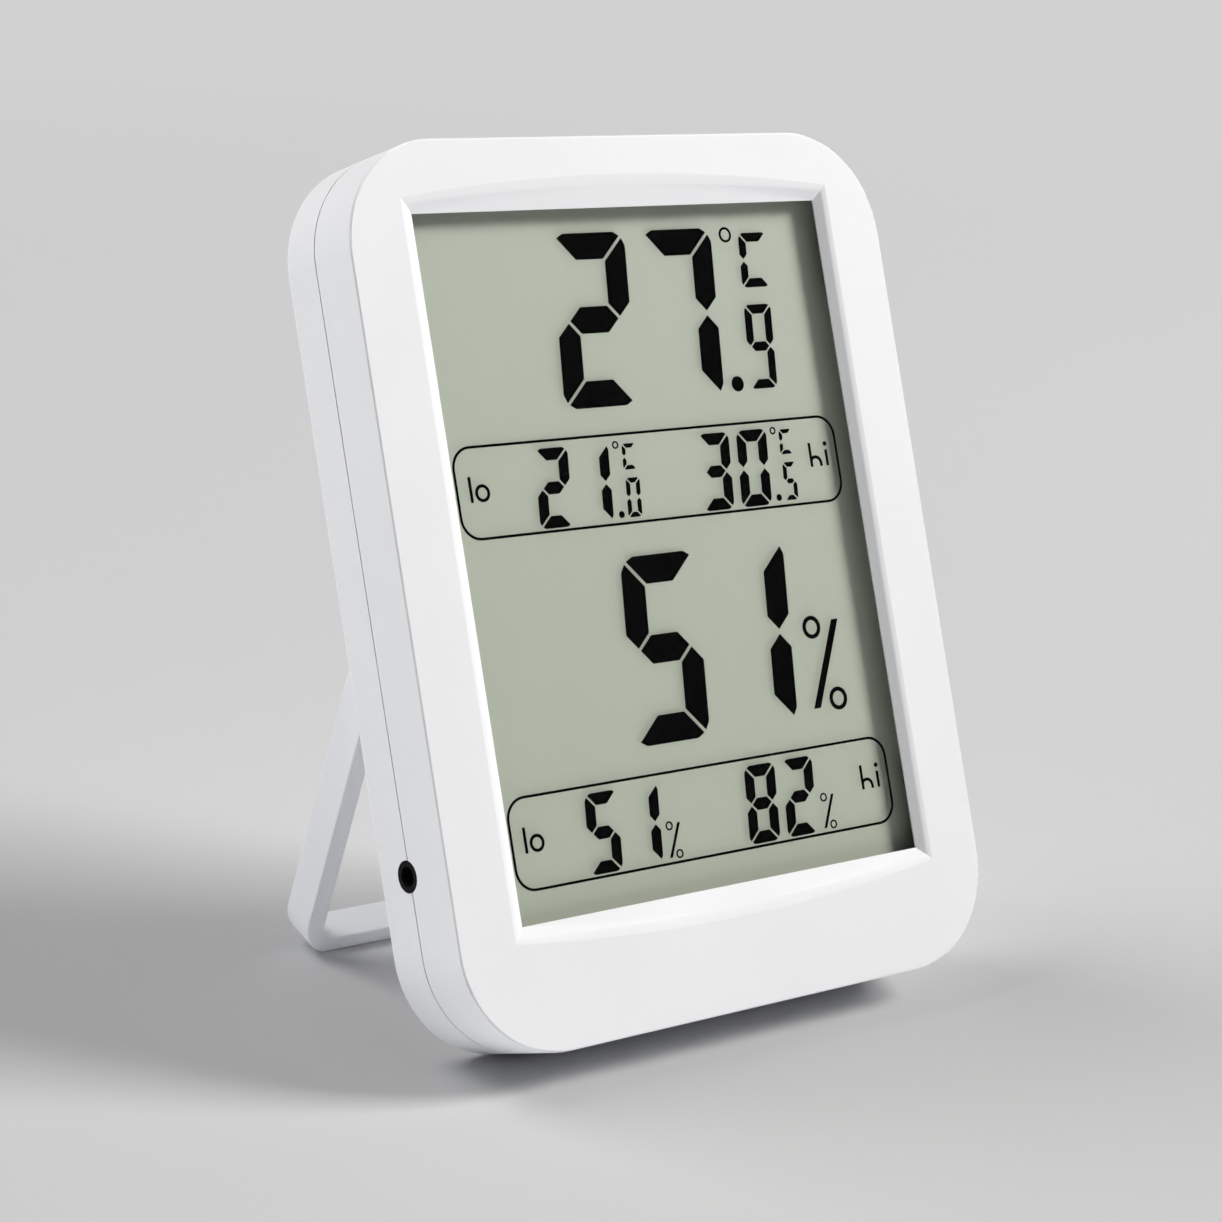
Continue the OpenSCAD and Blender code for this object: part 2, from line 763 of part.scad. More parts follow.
module degree_c(x, z, h, line) {
    ring(x + degree_at[0] * h, z + degree_at[1] * h, degree_r * h, line);
    translate([x, z]) figure(LETTER_C, h, letter_w * h, letter_stroke * h);
}

// Percent sign, two rings and a stroke; the sizes are shares of its height
percent_rings = [[0.15, 0.94], [0.39, 0.08]];
percent_ring_r = 0.11;
percent_ring_line = 0.05;
percent_stroke = 0.1;
percent_lean = 0.47;

module percent(x, z, h) {
    for (p = percent_rings)
        ring(x + p[0] * h, z + p[1] * h, percent_ring_r * h, percent_ring_line * h);
    translate([x, z]) polygon([[0, 0], [percent_stroke * h, 0],
        [(percent_lean + percent_stroke) * h, h], [percent_lean * h, h]]);
}

// Letters of the two short words beside the records
word_line = 1.2 * line_w;
word_h = 3;
bowl_r = 0.85;
bowl_at = [1.8, 1];
arch_at = [0.5, 0.35];
arch_low = 0.4;
arch_leg = 0.5;
letter_i_x = 2.6;
letter_i_h = 2;
dot_z = 2.75;
dot_share = 0.75;

// Short word for a low record
module word_low(x, z) {
    translate([x, z]) square([word_line, word_h]);
    ring(x + bowl_at[0], z + bowl_at[1], bowl_r, word_line);
}

// Short word for a high record
module word_high(x, z) {
    translate([x, z]) square([word_line, word_h]);
    translate([x + word_line, z]) {
        intersection() {
            ring(arch_at[0], arch_at[1], bowl_r, word_line);
            translate([0, arch_low]) square(word_h);
        }
        translate([arch_at[0] + bowl_r - word_line / 2, 0]) square([word_line, arch_leg]);
    }
    translate([x + letter_i_x, z]) square([word_line, letter_i_h]);
    translate([x + letter_i_x + word_line / 2, z + dot_z]) circle(dot_share * word_line);
}

// Figures of the records, and the places of their words above the frame's lower edge
record_w = 4.8;
record_stroke = 1.45;
record_pitch = 6.05;
record_up = 0.5;
record_frame_r = 2.7;
word_low_at = [-27.4, 4.4];
word_high_at = [24.6, 4.6];

// Rounded frame with a low figure on the left and a high one on the right
module record_row(z, low, low_x, high, high_x) {
    inner_r = record_frame_r - line_w;
    difference() {
        round_rect(2 * frame_half_w, z, z + frame_h, record_frame_r);
        round_rect(2 * (frame_half_w - line_w), z + line_w, z + frame_h - line_w, inner_r);
    }
    figures(low, low_x, z + record_up, record_h, record_w, record_stroke, record_pitch);
    figures(high, high_x, z + record_up, record_h, record_w, record_stroke, record_pitch);
    word_low(word_low_at[0], z + word_low_at[1]);
    word_high(word_high_at[0], z + word_high_at[1]);
}

// Tenths of a degree in a record: the dot, the small figure and the sign above it
small_dot_at = [-0.95, 1.25];
small_dot_r = 0.42;
small_up = 0.8;
small_h = 4.7;
small_w = 2.1;
small_stroke = 0.6;
small_sign_at = [0.35, 6.5];
small_sign_h = 3.1;
small_sign_line = 0.2;

module record_tenths(x, z, tenth) {
    translate([x, z] + small_dot_at) circle(small_dot_r);
    figures([tenth], x, z + small_up, small_h, small_w, small_stroke, 0);
    degree_c(x + small_sign_at[0], z + small_sign_at[1], small_sign_h, small_sign_line);
}

// Layout of the display, from the middle of the window and its lower edge, for a window of this size
layout_w = 61;
layout_h = 81.8;
temp_at = [-12, 58.2];
temp_w = 11;
temp_stroke = 3.2;
temp_pitch = 13.5;
temp_dot_at = [14.9, 59.7];
temp_dot_r = 0.95;
tenth_at = [16.9, 58.9];
tenth_w = 4.3;
tenth_stroke = 1.15;
temp_sign_at = [18.1, 71.5];
temp_sign_h = 6.8;
temp_sign_line = 0.3;
temp_row_z = 44.05;
temp_low_x = -18.2;
temp_high_x = 6.5;
temp_low_tenth_x = -5.1;
temp_high_tenth_x = 19.6;
humid_at = [-9.4, 17.8];
humid_w = 11.4;
humid_stroke = 3.4;
humid_pitch = 14;
humid_sign_at = [18.9, 19];
humid_sign_h = 10.6;
humid_row_z = 3.6;
humid_low_x = -18.8;
humid_high_x = 5.5;
small_percent_x = [-6.9, 17.5];
small_percent_z = 4.4;
small_percent_h = 4;

// Everything that the display shows
module readings() {
    figures([2, 7], temp_at[0], temp_at[1], temp_h, temp_w, temp_stroke, temp_pitch);
    translate(temp_dot_at) circle(temp_dot_r);
    figures([9], tenth_at[0], tenth_at[1], temp_h / 2, tenth_w, tenth_stroke, 0);
    degree_c(temp_sign_at[0], temp_sign_at[1], temp_sign_h, temp_sign_line);
    record_row(temp_row_z, [2, 1], temp_low_x, [3, 0], temp_high_x);
    record_tenths(temp_low_tenth_x, temp_row_z, 0);
    record_tenths(temp_high_tenth_x, temp_row_z, 5);
    figures([5, 1], humid_at[0], humid_at[1], humid_h, humid_w, humid_stroke, humid_pitch);
    percent(humid_sign_at[0], humid_sign_at[1], humid_sign_h);
    record_row(humid_row_z, [5, 1], humid_low_x, [8, 2], humid_high_x);
    for (x = small_percent_x) percent(x, small_percent_z, small_percent_h);
}

module lcd_segments() {
    color([0.04, 0.05, 0.05]) stance() slab(segment_y, segment_y + segment_t)
        translate([0, chin]) scale([win_w / layout_w, win_h / layout_h]) readings();
}

module display_foam() {
    top = pcb_z + pcb_h - foam_h / 2;
    color("darkslategray") stance()
        block([-display_w / 2 + foam_h, foam_y, top - foam_h], [display_w / 2 - foam_h, pcb_y, top]);
}

module zebra_strip() {
    low = (glass_z + ledge_top - zebra_t) / 2;
    color("lightpink") stance()
        block([-pcb_w / 2 + gap, glass_back, low], [pcb_w / 2 - gap, pcb_y, low + zebra_t]);
}

module main_pcb() {
    color("seagreen") stance() difference() {
        union() {
            block([-pcb_w / 2, pcb_y, pcb_z], [pcb_w / 2, pcb_back, pcb_z + pcb_h]);
            both_sides() for (z = pcb_screw_z) {
                rod_y(pcb_screw_x, z, pcb_y, pcb_back, pcb_ear_r);
                block([0, pcb_y, z - pcb_ear_r], [pcb_screw_x, pcb_back, z + pcb_ear_r]);
            }
        }
        both_sides() for (z = pcb_screw_z)
            rod_y(pcb_screw_x, z, pcb_y - over, pcb_back + over, pcb_screw_r + gap);
    }
}

// Low dome of resin over the bare chip
module controller_blob() {
    ball_r = (blob_r * blob_r + blob_h * blob_h) / (2 * blob_h);
    color([0.08, 0.08, 0.08]) stance() translate([blob_x, pcb_back, blob_z]) rotate([-90, 0, 0])
        rotate_extrude($fn = 128) intersection() {
            translate([0, blob_h - ball_r]) circle(ball_r, $fn = 256);
            square([blob_r, blob_h]);
        }
}

module timing_crystal() {
    color("silver") stance()
        translate([crystal_x, pcb_back + crystal_r + part_lift, blob_z - crystal_l / 2])
        cylinder(h = crystal_l, r = crystal_r);
}

// Surface parts in two columns beside the crystal
module chip_parts() {
    low = blob_z - (chip_rows - 1) / 2 * chip_pitch - chip_w / 2;
    color("tan") stance() for (i = [0:chip_cols - 1], j = [0:chip_rows - 1])
        translate([chip_x + i * chip_pitch, pcb_back, low + j * chip_pitch]) cube([chip_l, chip_h, chip_w]);
}

module humidity_sensor() {
    color("sandybrown") stance() block([sensor_x, port_y - sensor_w / 2, port_z - sensor_h / 2],
        [sensor_x + sensor_t, port_y + sensor_w / 2, port_z + sensor_h / 2]);
}

// Two straight leads that end on the board, each with its solder
module lead_pair(x, z) {
    for (side = [-1, 1]) {
        rod_x(x, lead_end_x, lead_y, z + side * lead_pitch / 2, lead_r);
        rod_y(lead_end_x, z + side * lead_pitch / 2, pcb_back, lead_y + lead_r, 2 * lead_r);
    }
}

module sensor_leads() {
    color("silver") stance() lead_pair(sensor_x + sensor_t, port_z);
}

module thermistor() {
    color([0.15, 0.13, 0.12]) stance() {
        translate([sensor_x, lead_y, bead_z]) rotate([0, 90, 0]) cylinder(h = 2 * bead_r, r = bead_r);
        for (side = [-1, 1]) {
            z = bead_z + side * bead_r / 2;
            rod_x(sensor_x + 2 * bead_r - thin, lead_end_x, lead_y, z, lead_r / 2);
            rod_y(lead_end_x, z, pcb_back, lead_y + lead_r / 2, lead_r);
        }
    }
}

module air_port_grommet() {
    color([0.05, 0.05, 0.05]) stance() difference() {
        union() {
            rod_x(-case_w / 2, -case_w / 2 + port_l, port_y, port_z, port_r);
            rod_x(flange_x, flange_x + port_flange_t, port_y, port_z, port_flange_r);
        }
        rod_x(-case_w / 2 - over, -case_w / 2 + port_l + over, port_y, port_z, port_bore_r);
    }
}

module port_filter() {
    color([0.1, 0.1, 0.1]) stance()
        rod_x(flange_x, flange_x + port_flange_t, port_y, port_z, port_bore_r - seat);
}

// Key with a flange behind the wall and a stem on its switch
module key(x) {
    rod_y(x, key_z, flange_y + flange_t - thin, case_t, key_r);
    rod_y(x, key_z, flange_y, flange_y + flange_t, flange_r);
    rod_y(x, key_z, plunger_top + seat, flange_y + thin, stem_r);
}

module switch_plunger(x) {
    rod_y(x, key_z, plunger_top - plunger_l, plunger_top, plunger_r);
}

module switch_body(x) {
    difference() {
        block([x - switch_w / 2, pcb_back, key_z - switch_w / 2],
            [x + switch_w / 2, switch_y, key_z + switch_w / 2]);
        rod_y(x, key_z, plunger_top - plunger_l - key_travel - gap, switch_y + over, plunger_r + gap);
    }
}

module unit_button() {
    color("gainsboro") stance() key(unit_x);
}

module unit_plunger() {
    color("black") stance() switch_plunger(unit_x);
}

module unit_switch() {
    color("silver") stance() switch_body(unit_x);
}

module reset_button() {
    color("gainsboro") stance() key(reset_x);
}

module reset_plunger() {
    color("black") stance() switch_plunger(reset_x);
}

module reset_switch() {
    color("silver") stance() switch_body(reset_x);
}

module coin_cell() {
    color("silver") stance() {
        rod_y(0, cell_z, cell_y + cap_h, cell_y + cell_h, cell_r);
        rod_y(0, cell_z, cell_y, cell_y + cap_h + thin, cap_r);
    }
}

// Bent leaf that springs from the board to the cell's small face
module negative_contact() {
    foot_l = 4;
    rise_x = 4;
    tip_y = cell_y - seat;
    bend_y = tip_y - contact_t;
    low = [[-foot_l, pcb_back], [0, pcb_back], [rise_x, bend_y], [2 * rise_x, bend_y]];
    high = [for (i = [len(low) - 1:-1:0]) low[i] + [0, contact_t]];
    color("gold") stance() translate([0, 0, cell_z - contact_w / 2])
        linear_extrude(contact_w) polygon(concat(low, high));
}

// Upright tab that touches the cell's side
module positive_contact() {
    low = [cell_r + seat, pcb_back, cell_z - contact_w / 2];
    color("gold") stance() {
        translate(low) cube([contact_t, groove_y - 2 * gap - pcb_back, contact_w]);
        translate(low) cube([contact_pocket - gap, contact_t, contact_w]);
    }
}

module battery_door() {
    color("white") stance() difference() {
        union() {
            rod_y(0, cell_z, case_t - door_t, case_t, door_r);
            difference() {
                rod_y(0, cell_z, lug_y, case_t - door_t + thin, neck_r);
                rod_y(0, cell_z, lug_y - over, case_t - door_t, neck_in_r);
            }
            rod_y(0, cell_z, lug_y, case_t - door_t + thin, press_r);
            for (side = lug_sides)
                ring_sector(neck_r - over, lug_r, lug_y, lug_y + lug_t, side - lug_angle / 2, lug_angle);
        }
        block([-coin_slot_l / 2, case_t - coin_slot_d, cell_z - coin_slot_w / 2],
            [coin_slot_l / 2, case_t + over, cell_z + coin_slot_w / 2]);
    }
}

module stand() {
    color("aliceblue") difference() {
        stance() translate([0, hinge_y, hinge_z]) rotate([stand_open, 0, 0]) {
            translate([0, -hinge_y, -hinge_z]) slab(case_t - stand_d, case_t) loop_outline(0, hinge_z);
            both_sides() {
                rod_x(stand_w / 2 - leg_w, stand_w / 2, 0, 0, stand_d / 2);
                block([stand_w / 2 - leg_w, 0, -thin], [stand_w / 2, stand_d / 2, heel_h]);
                rod_x(stand_w / 2 - thin, stand_w / 2 + pin_l, 0, 0, hinge_pin_r);
            }
        }
        translate([-stand_w, -stand_w, -stand_w]) cube([2 * stand_w, 2 * stand_w, stand_w]);
    }
}

// Pan-head screw with a cross recess, its head toward the back
module pan_screw(x, z, tip_y, head_y, r, big_r, h) {
    recess_w = 0.3 * big_r;
    recess_l = 1.3 * big_r;
    difference() {
        union() {
            rod_y(x, z, tip_y, head_y + thin, r);
            rod_y(x, z, head_y, head_y + h, big_r);
        }
        for (turn = [0, 90]) translate([x, head_y + h / 2, z]) rotate([0, turn, 0])
            translate([-recess_l / 2, 0, -recess_w / 2]) cube([recess_l, h, recess_w]);
    }
}

module case_screws() {
    color("darkgray") stance() for (s = screws)
        pan_screw(s[0], s[1], screw_tip_y, head_y, screw_r, head_r, head_h);
}

module pcb_screws() {
    color("darkgray") stance() both_sides() for (z = pcb_screw_z)
        pan_screw(pcb_screw_x, z, wall + 2 * gap, pcb_back, pcb_screw_r, pcb_head_r, pcb_head_h);
}

front_shell();
rear_cover();
display_lens();
lens_tape();
lcd_front_glass();
lcd_segments();
lcd_rear_glass();
lcd_reflector();
display_foam();
zebra_strip();
main_pcb();
controller_blob();
timing_crystal();
chip_parts();
humidity_sensor();
sensor_leads();
thermistor();
air_port_grommet();
port_filter();
unit_button();
unit_plunger();
unit_switch();
reset_button();
reset_plunger();
reset_switch();
coin_cell();
negative_contact();
positive_contact();
battery_door();
stand();
case_screws();
pcb_screws();
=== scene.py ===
"""Dresses the desk temperature and humidity sensor and sets it in a plain studio.

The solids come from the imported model. This script gives each of them its finish, rounds the moulded
edges, adds the raised marks of the back, and places the lamps, the floor and the camera. Metres.
"""

from __future__ import annotations

import json
import logging
import math
from dataclasses import dataclass, field
from enum import Enum
from typing import Any, Mapping, Protocol, Sequence, Union

import bmesh
import bpy
from mathutils import Euler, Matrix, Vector


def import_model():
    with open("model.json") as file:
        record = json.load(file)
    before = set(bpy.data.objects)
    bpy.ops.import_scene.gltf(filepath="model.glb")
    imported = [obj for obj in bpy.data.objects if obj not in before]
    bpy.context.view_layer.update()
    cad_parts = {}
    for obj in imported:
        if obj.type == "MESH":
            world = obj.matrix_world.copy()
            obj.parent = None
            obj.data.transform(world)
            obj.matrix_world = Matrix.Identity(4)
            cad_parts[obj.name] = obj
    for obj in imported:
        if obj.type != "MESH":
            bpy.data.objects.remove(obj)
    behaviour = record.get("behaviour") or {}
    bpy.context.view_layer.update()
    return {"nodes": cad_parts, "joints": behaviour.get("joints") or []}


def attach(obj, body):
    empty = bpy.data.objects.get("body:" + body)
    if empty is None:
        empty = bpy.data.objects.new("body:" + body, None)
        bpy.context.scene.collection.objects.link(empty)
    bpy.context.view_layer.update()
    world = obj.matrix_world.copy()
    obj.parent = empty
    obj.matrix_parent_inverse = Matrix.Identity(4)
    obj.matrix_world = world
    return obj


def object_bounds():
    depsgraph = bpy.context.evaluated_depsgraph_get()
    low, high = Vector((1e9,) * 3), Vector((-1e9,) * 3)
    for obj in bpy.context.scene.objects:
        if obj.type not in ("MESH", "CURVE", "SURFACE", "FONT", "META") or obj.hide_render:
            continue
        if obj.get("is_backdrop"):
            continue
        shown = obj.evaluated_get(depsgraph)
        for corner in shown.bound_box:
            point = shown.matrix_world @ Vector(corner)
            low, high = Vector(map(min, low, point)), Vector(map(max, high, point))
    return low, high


log = logging.getLogger("sensor")

MM = 0.001

# Middle of a noise's range, and how many finer layers a noise has
MIDDLE = 0.5
FINE, SOFT, PLAIN = 3.0, 1.0, 0.0
# Angles in degrees, counted from the right
UPWARD, HALF_TURN, FULL_TURN = 90.0, 180.0, 360.0

Triple = tuple[float, float, float]
Colour = Triple
Point = tuple[float, float]
Face = Sequence[Point]
Value = Union["Term", float, int, Sequence[float]]


class Body(Enum):
    """Bodies that a raised mark can ride on."""

    CASE = "case"
    UNIT_KEY = "unit_key"
    RESET_KEY = "reset_key"
    DOOR = "battery_door"


class Term:
    """A node's output that adds Math nodes when it takes part in arithmetic."""

    def __init__(self, graph: "Graph", socket: bpy.types.NodeSocket) -> None:
        """Keeps the graph that the output belongs to.

        Args:
            graph: The graph.
            socket: The output socket.
        """
        self.graph = graph
        self.socket = socket

    def _math(self, operation: str, first: Value, second: Value) -> "Term":
        """Adds a Math node.

        Args:
            operation: The node's operation.
            first: The first value.
            second: The second value.

        Returns:
            The node's result.
        """
        return self.graph.node("ShaderNodeMath", {"operation": operation}, {0: first, 1: second})

    def __add__(self, other: Value) -> "Term":
        """Sum."""
        return self._math("ADD", self, other)

    __radd__ = __add__

    def __sub__(self, other: Value) -> "Term":
        """Difference."""
        return self._math("SUBTRACT", self, other)

    def __rsub__(self, other: Value) -> "Term":
        """Difference from a number."""
        return self._math("SUBTRACT", other, self)

    def __mul__(self, other: Value) -> "Term":
        """Product."""
        return self._math("MULTIPLY", self, other)

    __rmul__ = __mul__

    def __or__(self, other: "Term") -> "Term":
        """The larger of two values, for masks."""
        return self._math("MAXIMUM", self, other)

    def above(self, low: float, high: float) -> "Term":
        """Soft step.

        Args:
            low: The value at which the step starts.
            high: The value at which it ends.

        Returns:
            0 below low, 1 above high, and a smooth rise between them.
        """
        sockets = {"Value": self, "From Min": low, "From Max": high}
        return self.graph.node("ShaderNodeMapRange", {"interpolation_type": "SMOOTHSTEP"}, sockets)


class Graph:
    """A node tree that is written as expressions."""

    MIX_FACTOR, MIX_A, MIX_B, MIX_OUT = 0, 6, 7, 2

    def __init__(self, tree: bpy.types.NodeTree) -> None:
        """Empties the tree.

        Args:
            tree: The node tree of a material or of the world.
        """
        self.tree = tree
        tree.nodes.clear()

    def add(
        self,
        kind: str,
        settings: Mapping[str, Any] | None = None,
        sockets: Mapping[int | str, Value] | None = None,
    ) -> bpy.types.Node:
        """Adds any node.

        Args:
            kind: The node's type.
            settings: Its own settings, set first.
            sockets: Values or links of its inputs.

        Returns:
            The node.
        """
        made = self.tree.nodes.new(kind)
        for key, value in (settings or {}).items():
            setattr(made, key, value)
        for key, value in (sockets or {}).items():
            if isinstance(value, Term):
                self.tree.links.new(value.socket, made.inputs[key])
            else:
                made.inputs[key].default_value = value
        return made

    def node(
        self,
        kind: str,
        settings: Mapping[str, Any] | None = None,
        sockets: Mapping[int | str, Value] | None = None,
        out: int | str = 0,
    ) -> Term:
        """Adds any node and gives one of its outputs.

        Args:
            kind: The node's type.
            settings: Its own settings, set first.
            sockets: Values or links of its inputs.
            out: The output.

        Returns:
            That output.
        """
        return Term(self, self.add(kind, settings, sockets).outputs[out])

    def mix(self, factor: Value, first: Value, second: Value) -> Term:
        """Mixes two colours.

        Args:
            factor: 0 for the first, 1 for the second.
            first: A colour.
            second: A colour.

        Returns:
            The mixed colour.
        """
        sockets = {self.MIX_FACTOR: factor, self.MIX_A: opaque(first), self.MIX_B: opaque(second)}
        return self.node("ShaderNodeMix", {"data_type": "RGBA"}, sockets, self.MIX_OUT)

    def seen(self) -> Term:
        """1 for what the camera sees, in a mirror or through glass too, and 0 for scattered light."""
        rays = self.add("ShaderNodeLightPath").outputs
        camera, glossy, through = (
            Term(self, rays[name]) for name in ("Is Camera Ray", "Is Glossy Ray", "Is Transmission Ray")
        )
        return camera | glossy | through


class Paint(Graph):
    """The node tree of one material."""

    def __init__(self, name: str) -> None:
        """Starts an empty material.

        Args:
            name: The material's name.
        """
        self.material = bpy.data.materials.new(name)
        self.material.use_nodes = True
        super().__init__(self.material.node_tree)
        self.place = self.node("ShaderNodeTexCoord", out="Object")

    def noise(self, size: float, detail: float = 2.0, stretch: Triple | None = None) -> Term:
        """Noise of about that grain.

        Args:
            size: The grain's size in metres.
            detail: How many finer layers it has.
            stretch: Shares by which the place is scaled first, for a brushed grain.

        Returns:
            A value round 0.5.
        """
        place = self.place
        if stretch is not None:
            place = self.node("ShaderNodeVectorMath", {"operation": "MULTIPLY"}, {0: place, 1: stretch})
        sockets = {"Vector": place, "Scale": 1 / size, "Detail": detail}
        return self.node("ShaderNodeTexNoise", None, sockets)

    def bands(self, pitch: float, shift: Value = 0.0) -> Term:
        """Bands across the object, from side to side.

        Args:
            pitch: The distance between bands in metres.
            shift: The phase by which they bend.

        Returns:
            A value from 0 to 1.
        """
        sockets = {"Vector": self.place, "Scale": 1 / pitch, "Phase Offset": shift}
        return self.node("ShaderNodeTexWave", {"bands_direction": "X"}, sockets)

    def bump(self, height: Term, depth: float) -> Term:
        """Turns a height into a normal.

        Args:
            height: A value from 0 to 1.
            depth: The height's real size in metres.

        Returns:
            The normal.
        """
        return self.node("ShaderNodeBump", None, {"Height": height, "Distance": depth})

    def surface(self, sockets: Mapping[str, Value]) -> bpy.types.Material:
        """Closes the graph with one Principled shader.

        Args:
            sockets: Values or links of the shader's inputs.

        Returns:
            The finished material.
        """
        shader = self.node("ShaderNodeBsdfPrincipled", None, sockets)
        self.add("ShaderNodeOutputMaterial", None, {"Surface": shader})
        return self.material


def opaque(colour: Value) -> Value:
    """Adds full opacity to a plain colour and leaves a link as it is."""
    return colour if isinstance(colour, Term) else (*colour, 1.0)


def shaded(colour: Colour, share: float) -> Colour:
    """A colour times a share."""
    return tuple(channel * share for channel in colour)


class Finish(Protocol):
    """Anything that makes a material."""

    def make(self, name: str) -> bpy.types.Material:
        """Makes the material of that name."""


@dataclass(frozen=True)
class MouldedPlastic:
    """Satin moulded plastic with a fine eroded grain and faint flow shading."""

    colour: Colour
    roughness: float = 0.52
    grain_size: float = 0.22 * MM
    grain_depth: float = 0.003 * MM
    grain_sheen: float = 0.14
    flow_size: float = 22 * MM
    flow_share: float = 0.975
    flow_sheen: float = 0.08
    flow_edges: Point = (0.35, 0.75)
    specular: float = 0.35

    def make(self, name: str) -> bpy.types.Material:
        """Makes the material.

        Args:
            name: The material's name.

        Returns:
            The material.
        """
        paint = Paint(name)
        grain = paint.noise(self.grain_size, FINE)
        flow = paint.noise(self.flow_size, SOFT)
        dull = shaded(self.colour, self.flow_share)
        sheen = (grain - MIDDLE) * self.grain_sheen + (flow - MIDDLE) * self.flow_sheen
        return paint.surface({
            "Base Color": paint.mix(flow.above(*self.flow_edges), self.colour, dull),
            "Roughness": self.roughness + sheen,
            "Specular IOR Level": self.specular,
            "Normal": paint.bump(grain, self.grain_depth),
        })


@dataclass(frozen=True)
class ClearSheet:
    """Thin clear sheet that lets the light through to what is behind it."""

    colour: Colour
    alpha: float
    roughness: float = 0.08
    smear_size: float = 9 * MM
    smear: float = 0.05

    def make(self, name: str) -> bpy.types.Material:
        """Makes the material.

        Args:
            name: The material's name.

        Returns:
            The material.
        """
        paint = Paint(name)
        return paint.surface({
            "Base Color": opaque(self.colour),
            "Roughness": self.roughness + paint.noise(self.smear_size, FINE) * self.smear,
            "Alpha": self.alpha,
        })


@dataclass(frozen=True)
class DisplayFilm:
    """Grey green reflector film with a fine pearly grain."""

    colour: Colour
    grain_size: float = 0.12 * MM
    grain_share: float = 0.03
    roughness: float = 0.55
    sheen: float = 0.2

    def make(self, name: str) -> bpy.types.Material:
        """Makes the material.

        Args:
            name: The material's name.

        Returns:
            The material.
        """
        paint = Paint(name)
        grain = paint.noise(self.grain_size)
        dark, pale = (shaded(self.colour, 1 + side * self.grain_share) for side in (-1, 1))
        return paint.surface({
            "Base Color": paint.mix(grain, dark, pale),
            "Roughness": self.roughness + (grain - MIDDLE) * self.sheen,
        })


@dataclass(frozen=True)
class DarkFilm:
    """Thin dark layer: display segments, adhesive frame or resin."""

    colour: Colour
    roughness: float = 0.45
    cloud_size: float = 1.5 * MM
    cloud_share: float = 1.6
    sheen: float = 0.1
    specular: float = 0.5

    def make(self, name: str) -> bpy.types.Material:
        """Makes the material.

        Args:
            name: The material's name.

        Returns:
            The material.
        """
        paint = Paint(name)
        cloud = paint.noise(self.cloud_size)
        return paint.surface({
            "Base Color": paint.mix(cloud, self.colour, shaded(self.colour, self.cloud_share)),
            "Roughness": self.roughness + (cloud - MIDDLE) * self.sheen,
            "Specular IOR Level": self.specular,
        })


@dataclass(frozen=True)
class PlatedMetal:
    """Plated metal with a drawn grain along one axis."""

    colour: Colour
    roughness: float = 0.28
    grain_size: float = 0.2 * MM
    grain_depth: float = 0.001 * MM
    grain_share: float = 0.92
    sheen: float = 0.16
    stretch: Triple = (1.0, 1.0, 0.06)

    def make(self, name: str) -> bpy.types.Material:
        """Makes the material.

        Args:
            name: The material's name.

        Returns:
            The material.
        """
        paint = Paint(name)
        grain = paint.noise(self.grain_size, stretch=self.stretch)
        return paint.surface({
            "Base Color": paint.mix(grain, shaded(self.colour, self.grain_share), self.colour),
            "Metallic": 1.0,
            "Roughness": self.roughness + (grain - MIDDLE) * self.sheen,
            "Normal": paint.bump(grain, self.grain_depth),
        })


@dataclass(frozen=True)
class Foam:
    """Open foam or felt, dark and rough, with small cells."""

    colour: Colour
    cell_size: float = 0.35 * MM
    cell_depth: float = 0.06 * MM
    cell_shares: Point = (0.4, 1.5)
    roughness: float = 0.85
    sheen: float = 0.1

    def make(self, name: str) -> bpy.types.Material:
        """Makes the material.

        Args:
            name: The material's name.

        Returns:
            The material.
        """
        paint = Paint(name)
        sockets = {"Vector": paint.place, "Scale": 1 / self.cell_size}
        cell = paint.node("ShaderNodeTexVoronoi", None, sockets, "Distance")
        dark, pale = (shaded(self.colour, share) for share in self.cell_shares)
        return paint.surface({
            "Base Color": paint.mix(cell, dark, pale),
            "Roughness": self.roughness + (cell - MIDDLE) * self.sheen,
            "Normal": paint.bump(cell, self.cell_depth),
        })


@dataclass(frozen=True)
class BandedRubber:
    """Silicone strip with fine dark bands that carry the contacts."""

    colour: Colour
    band: Colour
    pitch: float = 0.4 * MM
    band_edges: Point = (0.4, 0.6)
    roughness: float = 0.6
    sheen: float = 0.1

    def make(self, name: str) -> bpy.types.Material:
        """Makes the material.

        Args:
            name: The material's name.

        Returns:
            The material.
        """
        paint = Paint(name)
        wave = paint.bands(self.pitch)
        return paint.surface({
            "Base Color": paint.mix(wave.above(*self.band_edges), self.band, self.colour),
            "Roughness": self.roughness + wave * self.sheen,
        })


@dataclass(frozen=True)
class SolderResist:
    """Green lacquer over copper tracks that show as raised paler lines."""

    colour: Colour
    track_pitch: float = 2.4 * MM
    track_depth: float = 0.03 * MM
    track_edges: Point = (0.55, 0.75)
    track_share: float = 1.9
    bend_size: float = 9 * MM
    bend_phase: float = 14.0
    roughness: float = 0.3
    sheen: float = 0.12

    def make(self, name: str) -> bpy.types.Material:
        """Makes the material.

        Args:
            name: The material's name.

        Returns:
            The material.
        """
        paint = Paint(name)
        bend = paint.noise(self.bend_size, PLAIN)
        track = paint.bands(self.track_pitch, bend * self.bend_phase).above(*self.track_edges)
        return paint.surface({
            "Base Color": paint.mix(track, self.colour, shaded(self.colour, self.track_share)),
            "Roughness": self.roughness + bend * self.sheen,
            "Normal": paint.bump(track, self.track_depth),
        })


